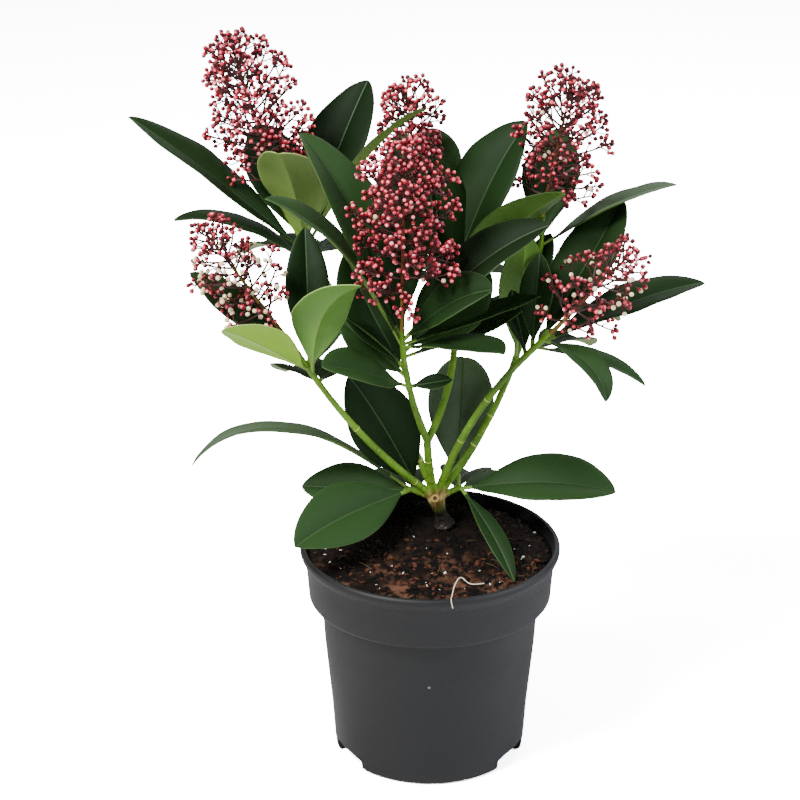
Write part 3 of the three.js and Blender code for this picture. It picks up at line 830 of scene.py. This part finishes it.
def stem_sections(parts, swells, rings):
    """Points, directions, radii and slots along several stretches of line, joined end to end.

    parts are (line, from, to, radius at from, radius at to) in millimetres along the line, and
    swells and rings are distances from the start of the first.
    """
    points, ways, radii, slots = [], [], [], []
    gone = parts[0][1]
    for line, start, end, first, last in parts:
        steps = steps_along(start, end)
        for i in range(1 if points else 0, steps + 1):
            share = i / steps
            far = gone + (end - start) * share
            swell = sum(math.exp(-(((far - s) / SWELL["half"]) ** 2)) for s in swells)
            ring = any(abs(far - r) < RING_HALF for r in rings)
            on = mix(start, end, share) / line.length
            points.append(line.at(on))
            ways.append(line.way(on))
            radii.append(mix(first, last, share) * (1 + SWELL["rise"] * min(swell, 1) + RING_RISE * ring))
            slots.append(int(ring))
        gone += end - start
    return points, ways, radii, slots


def make_stem(name, parts, swells, rings, node, olive=0):
    """A stem. Its third part is a flower stalk, olive for that many sections and brown higher up."""
    *sections, slots = stem_sections(parts, swells, rings)
    if len(parts) == 3:
        stalk = sum(steps_along(start, end) for _, start, end, _, _ in parts[:2])
        slots[stalk:] = [OLIVE if i < olive else BROWN for i in range(len(slots) - stalk)]
    skin = Skin()
    skin.tube(*sections, STEM_SIDES, np.array(slots[1:])[:, None], bark_relief(STEM_RELIEF))
    dress(skin.make(name, finishes(*BARK)), "green_bark", node)


def make_trunk(limbs):
    """The flared foot and the knot, with the root of each limb grown together into one skin."""
    skin = Skin()
    up = (KNOT - FOOT).normalized()
    shares = np.linspace(0, TRUNK_STATIONS[-1], 34)
    girths = np.interp(shares, TRUNK_STATIONS, TRUNK_GIRTHS) * FLARE
    points = [FOOT + (KNOT - FOOT) * s for s in shares]
    skin.tube(points, [up] * len(points), girths, TRUNK_SIDES, 0, foot_lobes)
    radii = [ROOT_RADIUS * (1 + 0.25 * (1 - i / 13) ** 2) for i in range(14)]
    for line, length in limbs:
        skin.tube(*line.along(np.linspace(0, length / line.length, len(radii))), radii, STEM_SIDES, 0)
    trunk = skin.make("trunk_bark", finishes("wood"))
    remesh = trunk.modifiers.new("grown_together", "REMESH")
    remesh.mode = "VOXEL"
    remesh.voxel_size = TRUNK_VOXEL * MM
    ease = trunk.modifiers.new("ease", "SMOOTH")
    ease.factor = 0.6
    ease.iterations = 6
    replace_mesh(trunk)
    relief = bark_relief(TRUNK_RELIEF)
    for vertex in trunk.data.vertices:
        place = vertex.co / MM
        old = smooth(*OLD_BARK, place.z)
        vertex.co += vertex.normal * (relief(place) * (0.5 + old) * MM)
        vertex.co.z = max(vertex.co.z, FOOT.z * MM)
    trunk.data.polygons.foreach_set("use_smooth", [True] * len(trunk.data.polygons))
    dress(trunk, "woody_bark", "trunk")


def foot_lobes(p):
    """The roots' ridges, which widen the foot in five lobes."""
    turn = math.atan2(p.y - FOOT.y, p.x - FOOT.x)
    return smooth(8, 0, p.z - FOOT.z) * 0.35 * math.cos(5 * turn)


SCAR = Vector((2.6, 4.1, 134.2))
SCAR_WAY = Vector((-0.12, -0.9, 0.42)).normalized()
SCAR_RINGS = ((0, 2.1), (1.0, 2.0), (1.35, 1.6), (1.3, 1.1), (0.7, 0.75), (0.45, 0.3))  # height and radius


def make_scar():
    """A pale round scar with a hollow middle, where a shoot was cut from the front of the knot."""
    skin = Skin()
    points = [SCAR + SCAR_WAY * height for height, _ in SCAR_RINGS]
    radii = [radius for _, radius in SCAR_RINGS]
    slots = np.array([0, 0, 0, 1, 1])[:, None]
    skin.tube(points, [SCAR_WAY] * len(points), radii, 20, slots, bark_relief(STEM_RELIEF))
    dress(skin.make("cut_scar", finishes("scar", "scar_hollow")), "woody_bark")


# ---- leaves

LEAF_CUTS = 46
BLADE_CUTS = (0, 0.2, 0.42, 0.64, 0.84, 1)  # from the midrib's edge to the margin's inner edge
MARGIN, RIB = 0.28, 0.34
BLADE_THICK = 0.5
TIP_BACK = 0.6  # how far a blade ends short of the source's, so that its waves stay inside
OPEN_BY = LEAF["petiole"] + LEAF["opens"]  # the share of its length where a blade is fully open
VEIN_GAP, VEIN_SLANT = 8.5, 0.75
# leaf_dark, leaf_mid and leaf_deep are the tops' own tones, drawn by lot; the next is a darker copy painted
# as shade and the last a lighter, greyer copy painted as sheen.
TOPS = ("leaf_dark", "leaf_mid", "leaf_deep", "leaf_painted_shade", "leaf_painted_sheen")
# Of the undersides, the third is a paler copy painted as light shining through the leaf, the fourth a darker
# copy painted as shade and the fifth a lighter copy painted as light.
UNDERS = ("leaf_under", "leaf_under_green", "leaf_under_painted_backlight", "leaf_under_painted_shade", "leaf_under_lit")
FOLIAGE = (*TOPS, *UNDERS, "leaf_rib", "leaf_margin_highlight", "leaf_stalk", "leaf_margin_highlight_pale")
RIB_SLOT, MARGIN_HIGHLIGHT_SLOT, STALK_SLOT, PALE_MARGIN_HIGHLIGHT_SLOT = 10, 11, 12, 13
PALE_UNDERS = (1, 2, 4)  # the undersides whose leaves get a pale painted highlight along the margin


def half_width(row, share):
    along = max(share - LEAF["petiole"], 0) / (1 - LEAF["petiole"])
    blunt = mix(0.85, 0.68, smooth(0.55, 0.95, along))
    blade = math.sin(math.pi * min(along**1.15, 1)) ** blunt
    least = LEAF["petiole_width"] if share < 0.5 else LEAF["tip_width"]
    return max(row.width * blade, least) / 2


def leaf_way(row, share):
    heading = row.heading + row.sweep * (share - 0.5)
    return direction(heading, row.rise + row.bend * (1 / 3 - share * share))


def leaf_columns(half):
    """How far each point of a leaf's upper side is from its midrib, from one edge to the other."""
    rib = min(RIB, half * 0.3)
    inner = max(half - MARGIN, half * 0.7)
    blade = [mix(rib, inner, cut) for cut in BLADE_CUTS]
    right = [half, *reversed(blade)]
    return [*right, 0, *[-x for x in reversed(right)]]


def blade_height(row, share, half, across, seed):
    """How high a leaf's middle layer stands over its midrib: the fold, a slight arch and waves."""
    v = abs(across) / half
    opened = smooth(LEAF["petiole"], OPEN_BY, share)
    fold = half * math.sin(math.radians(LEAF["fold"])) * opened
    arch = 0.35 * fold * 4 * v * (1 - v)
    side = 1 if across > 0 else -1
    wave = noise.noise(Vector((share * 4.2, side * 3.1, seed * 1.7)))
    ripple = noise.noise(Vector((share * 9, side * 5.3, seed * 2.3)))
    edge = row.length * opened * (0.014 * wave + 0.005 * ripple) * v**1.5
    return fold * v + arch + edge


def vein(row, share, half, across):
    """A shallow groove along each side vein, which runs forward from the midrib."""
    v = abs(across) / half
    phase = (share * row.length - abs(across) * VEIN_SLANT) / VEIN_GAP
    groove = max(math.cos(math.tau * phase), 0) ** 6
    return groove * v * (1 - v) * 4 * smooth(0.14, 0.25, share) * smooth(1, 0.85, share)


def leaf_ring(row, share, middle, seed):
    """The points round a leaf at a share of its length: over the top and back along the underside."""
    along = leaf_way(row, share)
    side = UP.cross(along).normalized()
    top = along.cross(side)
    roll = Matrix.Rotation(math.radians(row.roll), 3, along)
    side, top = roll @ side, roll @ top
    half = half_width(row, share)
    columns = leaf_columns(half)
    rib = row.length * 0.0075 * (1.2 - 0.8 * share)
    thick = min(BLADE_THICK, half * 0.5)
    stalk = 1 - smooth(LEAF["petiole"], 0.2, share)
    spread = math.cos(math.radians(LEAF["fold"]) * smooth(LEAF["petiole"], OPEN_BY, share))
    upper, lower = [], []
    for i, across in enumerate(columns):
        height = blade_height(row, share, half, across, seed)
        base = middle + side * (across * spread) + top * height
        if i in (0, len(columns) - 1):
            upper.append(base)
            continue
        near = 1 - smooth(0, 2.2, abs(across))
        groove = vein(row, share, half, across)
        body = math.sqrt(1 - (across / half) ** 2)
        over = mix(thick / 2 - 0.1 * groove - 0.16 * near, 0.55 * body, stalk)
        under = mix(thick / 2 + 0.04 * groove + (rib - thick / 4) * near, 0.85 * body, stalk)
        upper.append(base + top * over)
        lower.append(base - top * under)
    return [*upper, *reversed(lower)]


def leaf_slots(upper, under):
    """The slot of each strip round a leaf's blade."""
    strips = len(BLADE_CUTS) - 1
    # The margin strips take a painted highlight, the pale one on leaves with a paler underside.
    margin = PALE_MARGIN_HIGHLIGHT_SLOT if under in PALE_UNDERS else MARGIN_HIGHLIGHT_SLOT
    half_top = [margin] + [upper] * strips + [RIB_SLOT]
    half_under = [margin] + [len(TOPS) + under] * strips + [STALK_SLOT]
    return [*half_top, *reversed(half_top), *half_under, *reversed(half_under)]


def add_leaf(skin, root, row, seed):
    middle = root
    length = row.length - TIP_BACK
    drawn = random.Random(seed * 7 + 1).choices((0, 1, 2), (4, 3, 3))[0]
    slots = leaf_slots(drawn if row.top is None else row.top, row.under)
    rings, table = [], []
    before = 0
    for i in range(LEAF_CUTS + 1):
        share = 1 - (1 - i / LEAF_CUTS) ** 1.15
        middle = middle + leaf_way(row, (share + before) / 2) * (length * (share - before))
        rings.append(leaf_ring(row, share, middle, seed))
        table.append([STALK_SLOT] * len(slots) if share < 0.12 else slots)
        before = share
    skin.rings(rings, np.array(table[1:]))


def old_leaves(headings, start):
    draw = seeded(OLD_LEAF["seed"])
    at = mix(start, 1, OLD_LEAF["height"])
    rows = []
    for heading in headings:
        size = 1 + OLD_LEAF["vary"] * (draw() - 0.5)
        length, width = OLD_LEAF["length"] * size, OLD_LEAF["width"] * size
        rows.append(Leaf(at, heading, OLD_LEAF["rise"], length, width, OLD_LEAF["bend"], 0))
    return rows


def make_leaves(name, line, rows, seed):
    """A shoot's leaves as one piece. Gives the tree of their skin, which keeps buds clear of them."""
    skin = Skin()
    for k, row in enumerate(rows):
        add_leaf(skin, line.at(row.at), row, seed + k)
    dress(skin.make(f"foliage_{name}", finishes(*FOLIAGE)), "leaf", f"leaves_{name}")
    return skin.tree()


# ---- flower heads

BUD = 1.17  # a bud's radius, which a bud's own size multiplies
BUDS_APART = 2.15  # between the middles of two buds, in radii
LEAF_CLEAR = 0.15  # between a bud and a leaf
BUD_SIDES = 12
BUD_POINTS, BUD_TRIS, BUD_QUADS = ball(BUD_SIDES, 7)
SEAMS = 3  # every third meridian of a bud is a seam between two of its four petals
PULL = 1.8  # how far a side twig ends short of the source's, to leave room for its pedicels
# How far apart the finer twigs stand on each head's side twigs.
SIDE_STEP = {"left": 4.4, "back_left": 2.8, "front": 2.9, "back": 3.8, "right": 7, "back_right": 4}
TWIG_RADII, FINE_RADII, PEDICEL_RADII = (0.58, 0.42), (0.4, 0.33), (0.27, 0.34)
TWIGS = ("twig", "pedicel", "stalk_brown")
TWIG_SLOT, PEDICEL_SLOT = 0, 1
SIDES = ("bud_coral", "bud_rose", "bud_deep", "bud_cream")
# The tips take a painted highlight.
TIP_HIGHLIGHTS = ("tip_highlight_coral", "tip_highlight_rose", "tip_highlight_deep", "tip_highlight_cream")
BUDS = (*SIDES, *TIP_HIGHLIGHTS, "calyx")
DEEP, CREAM = 2, 3  # places in SIDES
CALYX_SLOT = 8
# Part 1 is a band of painted shade, and the tip part takes the painted highlight.
SHADE_PART, TIP_PART = 1, 4
CREAM_TO = 0.78  # how high up a head its cream buds go
# How often each head's buds are coral, rose, deep red and cream.
PALETTE = {
    "left": (3, 2, 4, 6),
    "back_left": (5, 3, 4, 0),
    "front": (5, 4, 3, 0.05),
    "back": (6, 3, 3, 0.2),
    "right": (3, 2, 6, 2.2),
    "back_right": (3, 2, 6, 0.3),
}
# Twigs that hang from the foot of a stalk: heading, rise and length.
LOW_TWIGS = {"back_left": ((200, -38, 25), (222, -52, 27), (186, -16, 21), (236, -28, 17))}
LOW_TWIGS_AT = 0.03


def bud_shape():
    """A closed bud: a ball, a little drawn out, with four seams towards its tip. Its foot is at 0.

    Each face's part is 0 in the calyx round the foot and goes up to 4 at the tip.
    """
    points = []
    for i, p in enumerate(BUD_POINTS):
        seam = (i - 1) % BUD_SIDES % SEAMS == 0 and 0 < i < len(BUD_POINTS) - 1
        depth = 0.07 * smooth(-0.4, 0.5, p.z) if seam else 0
        width = 1 - depth - 0.06 * max(p.z, 0)
        points.append((p.x * width, p.y * width, p.z * 1.06 + 0.98))
    quad_parts = [min(k // BUD_SIDES, TIP_PART) for k in range(len(BUD_QUADS))]
    tri_parts = [k % 2 * TIP_PART for k in range(len(BUD_TRIS))]
    return np.array(points), [np.array(tri_parts), np.array(quad_parts)]


BUD_SHAPE, BUD_PARTS = bud_shape()


def bud_slots(parts, colour):
    """Calyx round the foot, then a deep red band of painted shade, the bud's own colour and a paler painted
    highlight at its tip.
    """
    # The band above the calyx is painted shade in deep red, except on cream buds.
    low = DEEP if colour != CREAM else CREAM
    slots = np.where(parts >= TIP_PART, colour + len(SIDES), colour)
    slots = np.where(parts == SHADE_PART, low, slots)
    return np.where(parts == 0, CALYX_SLOT, slots)


class Cells:
    """Places taken by buds, so that no two sit in each other."""

    SIZE = 3.2

    def __init__(self):
        self.taken = {}

    def key(self, p):
        return tuple(math.floor(v / self.SIZE) for v in p)

    def free(self, p, apart):
        x, y, z = self.key(p)
        near = [(x + i, y + j, z + k) for i in (-1, 0, 1) for j in (-1, 0, 1) for k in (-1, 0, 1)]
        return all((p - q).length >= apart for cell in near for q in self.taken.get(cell, ()))

    def take(self, p):
        self.taken.setdefault(self.key(p), []).append(p)


class Head:
    """One flower head: its twigs and its buds grow into two skins."""

    def __init__(self, name, stalk, head, blades):
        self.name = name
        self.stalk = stalk
        self.head = head
        self.blades = blades
        self.twigs = Skin()
        self.buds = Skin()
        self.draw = random.Random(head["seed"])
        self.cells = Cells()
        self.cream_top = mix(stalk.start.z, stalk.end.z, CREAM_TO)

    def clear(self, point, apart):
        """Whether a point is at least this far from every leaf."""
        return all(tree.find_nearest(point, apart)[0] is None for tree in self.blades)

    def bud(self, root, way, pedicel, size):
        """A pedicel and the bud on it, unless the bud would touch a leaf or another bud."""
        radius = BUD * size
        middle = root + way * (pedicel + radius)
        if not self.cells.free(middle, radius * BUDS_APART) or not self.clear(middle, radius + LEAF_CLEAR):
            return
        self.cells.take(middle)
        foot = root + way * pedicel
        sag = (0, 0, -0.04 * pedicel)
        self.twigs.bent_tube(root, foot + way * 0.2, sag, PEDICEL_RADII, PEDICEL_SLOT, 2, 5)
        right = turned(*cross_axes(way), self.draw.random() * math.tau)
        axes = np.array([right, way.cross(right), way]) * radius
        weights = list(PALETTE[self.name])
        if middle.z > self.cream_top:
            weights[CREAM] = 0
        colour = self.draw.choices(range(len(SIDES)), weights)[0]
        slots = [bud_slots(parts, colour) for parts in BUD_PARTS]
        self.buds.add(BUD_SHAPE @ axes + np.array(foot), [BUD_TRIS, BUD_QUADS], slots)

    def cyme(self, root, way, count, spread, length):
        """A small umbel: one bud straight on and the rest set round it."""
        side, top = cross_axes(way)
        turn = self.draw.random() * math.tau
        for k in range(count):
            tilt = 0.12 if k == 0 else spread * self.draw.uniform(0.8, 1.2)
            out = turned(side, top, turn + k * math.tau / (count - 1))
            bud_way = turned(way, out, tilt).normalized()
            self.bud(root, bud_way, length * self.draw.uniform(0.75, 1.2), self.draw.uniform(0.86, 1.1))

    def side_twig(self, k, end, draw):
        """Where the source's side twig k starts, its direction and how far off its tuft's middle is."""
        head = self.head
        share = mix(head["bare"], end, k / head["twigs"])
        height = (share - head["bare"]) / (1 - head["bare"])
        along = self.stalk.way(share)
        out = turned(*cross_axes(along), math.radians(k * HEAD["golden"] + draw() * 30))
        way = turned(out, along, mix(*HEAD["lift"], height)).normalized()
        fullness = math.sin(math.pi * mix(*HEAD["fill"], height))
        reach = head["spread"] * fullness * mix(HEAD["inner"], 1, draw() ** 0.5)
        return share, way, max(reach - HEAD["tuft"], HEAD["shortest"])

    def branch(self, at, way, length):
        """A side twig of the stalk with finer twigs on it, each ending in a cyme."""
        start, along = self.stalk.at(at), self.stalk.way(at)
        length = max(length - PULL, HEAD["shortest"])
        end = start + way * length
        if not all(self.clear(start + way * (length * s), 0.7) for s in (0.3, 0.5, 0.7, 0.85, 1)):
            return
        line = self.twigs.bent_tube(start, end, along * (-0.06 * length), TWIG_RADII, TWIG_SLOT, 6, 7)
        self.cyme(line.at(1), line.way(1), self.draw.choice((4, 5, 5)), 0.95, 2.5)
        side, top = cross_axes(way)
        turn = self.draw.random() * math.tau
        step = SIDE_STEP[self.name]
        for i in range(int(length / step)):
            share = 1 - (i + 0.75) * step / length
            if share < 0.3:
                break
            turn += 2.4 + self.draw.uniform(-0.4, 0.4)
            fine = (line.way(share) * 0.8 + turned(side, top, turn) + along * 0.25).normalized()
            root = line.at(share)
            tip = root + fine * self.draw.uniform(2.8, 5.2)
            if self.clear(tip, 0.6):
                self.twigs.bent_tube(root, tip, (0, 0, -0.2), FINE_RADII, TWIG_SLOT, 3, 5)
                self.cyme(tip, fine, self.draw.choice((3, 3, 4)), 0.8, 2.1)

    def grow(self):
        draw = seeded(self.head["seed"])
        end = 1 - HEAD["tuft"] * 2 / self.stalk.length
        tip = self.stalk.at(end)
        way = self.stalk.way(1)
        self.cyme(tip + way * 3.2, way, 6, 1.05, 1.8)
        self.twigs.bent_tube(tip, tip + way * 3.4, (0, 0, 0), TWIG_RADII, TWIG_SLOT, 2, 8)
        for k in range(self.head["twigs"]):
            self.branch(*self.side_twig(k, end, draw))
        for heading, rise, length in LOW_TWIGS.get(self.name, ()):
            self.branch(LOW_TWIGS_AT, direction(heading, rise), length)
        for kind, skin, looks in (("twigs", self.twigs, TWIGS), ("buds", self.buds, BUDS)):
            dress(skin.make(f"{kind}_{self.name}", finishes(*looks)), "flower_bud", f"flowers_{self.name}")


# ---- the plant


def shoot_parts(shoot, line, stalk):
    """The stretches of a shoot's stem: its bough, the stem of its leaves and its flower stalk."""
    foot = 0 if "from_fork" in shoot else STUB - JOIN
    bare = line.length * shoot["bare_to"]
    end = stalk.length - HEAD["tuft"] * 2
    return [
        (line, foot, bare, ROOT_RADIUS, TIP_RADIUS),
        (line, bare, line.length, TIP_RADIUS, STALK_RADIUS),
        (stalk, 0, end, STALK_RADIUS, STALK_END),
    ]


def make_shoot(name, shoot, line, start, parts, node, seed):
    """A shoot's stem and leaves. Its old leaves stand beyond start. Gives the tree of its leaves."""
    rows = shoot["leaves"] + old_leaves(shoot["old"], start)
    swells = [row.at * line.length for row in rows]
    make_stem(f"stem_{name}", parts, swells, NODE_RINGS.get(name, ()), node, OLIVE_SECTIONS.get(name))
    return make_leaves(name, line, rows, seed)


def make_plant():
    centre = Line(KNOT, FORK, FORK_BOW)
    lines, stalks = {}, {}
    for name, shoot in SHOOTS.items():
        lines[name] = Line(FORK if "from_fork" in shoot else KNOT, shoot["to"], shoot["bow"])
        stalks[name] = Line(shoot["to"], shoot["head"]["top"])
    low = {name: Line(KNOT, shoot["to"]) for name, shoot in LOW_SHOOTS.items()}
    mains = [line for name, line in lines.items() if "from_fork" not in SHOOTS[name]]
    make_trunk([(line, STUB) for line in (centre, *mains)] + [(line, LOW_STUB) for line in low.values()])
    make_scar()
    fork_part = (centre, STUB - JOIN, centre.length, ROOT_RADIUS, ROOT_RADIUS)
    make_stem("stem_centre", [fork_part], (), NODE_RINGS["centre"], "bough_centre")
    blades = []
    for i, (name, shoot) in enumerate(SHOOTS.items()):
        line = lines[name]
        parts = shoot_parts(shoot, line, stalks[name])
        start = shoot["bare_to"] + GAP / line.length
        blades.append(make_shoot(name, shoot, line, start, parts, f"bough_{name}", 10 * i))
    for i, (name, shoot) in enumerate(LOW_SHOOTS.items()):
        line = low[name]
        parts = [(line, LOW_STUB - JOIN, line.length, TIP_RADIUS, STALK_RADIUS)]
        blades.append(make_shoot(name, shoot, line, LOW_STUB / line.length, parts, "trunk", 100 + 10 * i))
    for name, shoot in SHOOTS.items():
        Head(name, stalks[name], shoot["head"], blades).grow()


# ---- stage, whose camera and lights stand in metres

CAMERA_AT = Vector((-0.015, -1.35, 0.77))
CAMERA_TO = Vector((-0.015, 0, 0.1894))
LIGHTS_TO = (0, 0, 0.2)
FLOOR_HALF = 3000
# The camera sees the floor and the studio this bright, while the plant is lit by dimmer ones.
BACKDROP = 14.0
STUDIO = 0.28
FLOOR = 0.8


def aim(thing, at, to):
    thing.location = at
    thing.rotation_euler = (Vector(to) - Vector(at)).to_track_quat("-Z", "Y").to_euler()
    bpy.context.scene.collection.objects.link(thing)


def make_camera():
    data = bpy.data.cameras.new("camera")
    data.lens = 135
    data.sensor_width = 36
    data.clip_start = 0.05
    data.clip_end = 50
    camera = bpy.data.objects.new("camera", data)
    aim(camera, CAMERA_AT, CAMERA_TO)
    bpy.context.scene.camera = camera


def soft_light(name, at, size, power, colour=(1, 1, 1)):
    data = bpy.data.lights.new(name, "AREA")
    data.shape = "DISK"
    data.size = size
    data.energy = power
    data.color = colour
    aim(bpy.data.objects.new(name, data), at, LIGHTS_TO)


def for_camera(tree, seen, otherwise):
    """A value that is one thing to the camera and another to the light on the plant."""
    ray = add_node(tree, "LightPath", {})["Is Camera Ray"]
    return add_node(tree, "MapRange", {"Value": ray, "To Min": otherwise, "To Max": seen})["Result"]


def make_floor():
    skin = Skin()
    corners = [(x * FLOOR_HALF, y * FLOOR_HALF, 0) for x, y in ((-1, -1), (1, -1), (1, 1), (-1, 1))]
    skin.add(corners, [[(0, 1, 2, 3)]], [[0]])
    pale = bpy.data.materials.new("floor")
    pale.use_nodes = True
    tree = pale.node_tree
    tree.nodes.clear()
    diffuse = add_node(tree, "BsdfDiffuse", {"Color": for_camera(tree, BACKDROP, FLOOR)})["BSDF"]
    add_node(tree, "OutputMaterial", {"Surface": diffuse})
    skin.make("floor", [pale])


def make_stage():
    make_floor()
    world = bpy.data.worlds.new("studio")
    world.use_nodes = True
    background = world.node_tree.nodes["Background"]
    background.inputs["Color"].default_value = (1, 1, 1, 1)
    feed(world.node_tree, background.inputs["Strength"], for_camera(world.node_tree, BACKDROP, STUDIO))
    bpy.context.scene.world = world
    soft_light("key", (-0.7, -0.6, 1.2), 0.55, 38)
    soft_light("fill", (1.1, -0.3, 0.8), 0.8, 16, (0.93, 0.96, 1))
    soft_light("rim", (0.3, 1.0, 1.0), 0.9, 6)


make_camera()
make_stage()
make_pot()
make_soil()
make_crumbs()
make_thread()
make_plant()
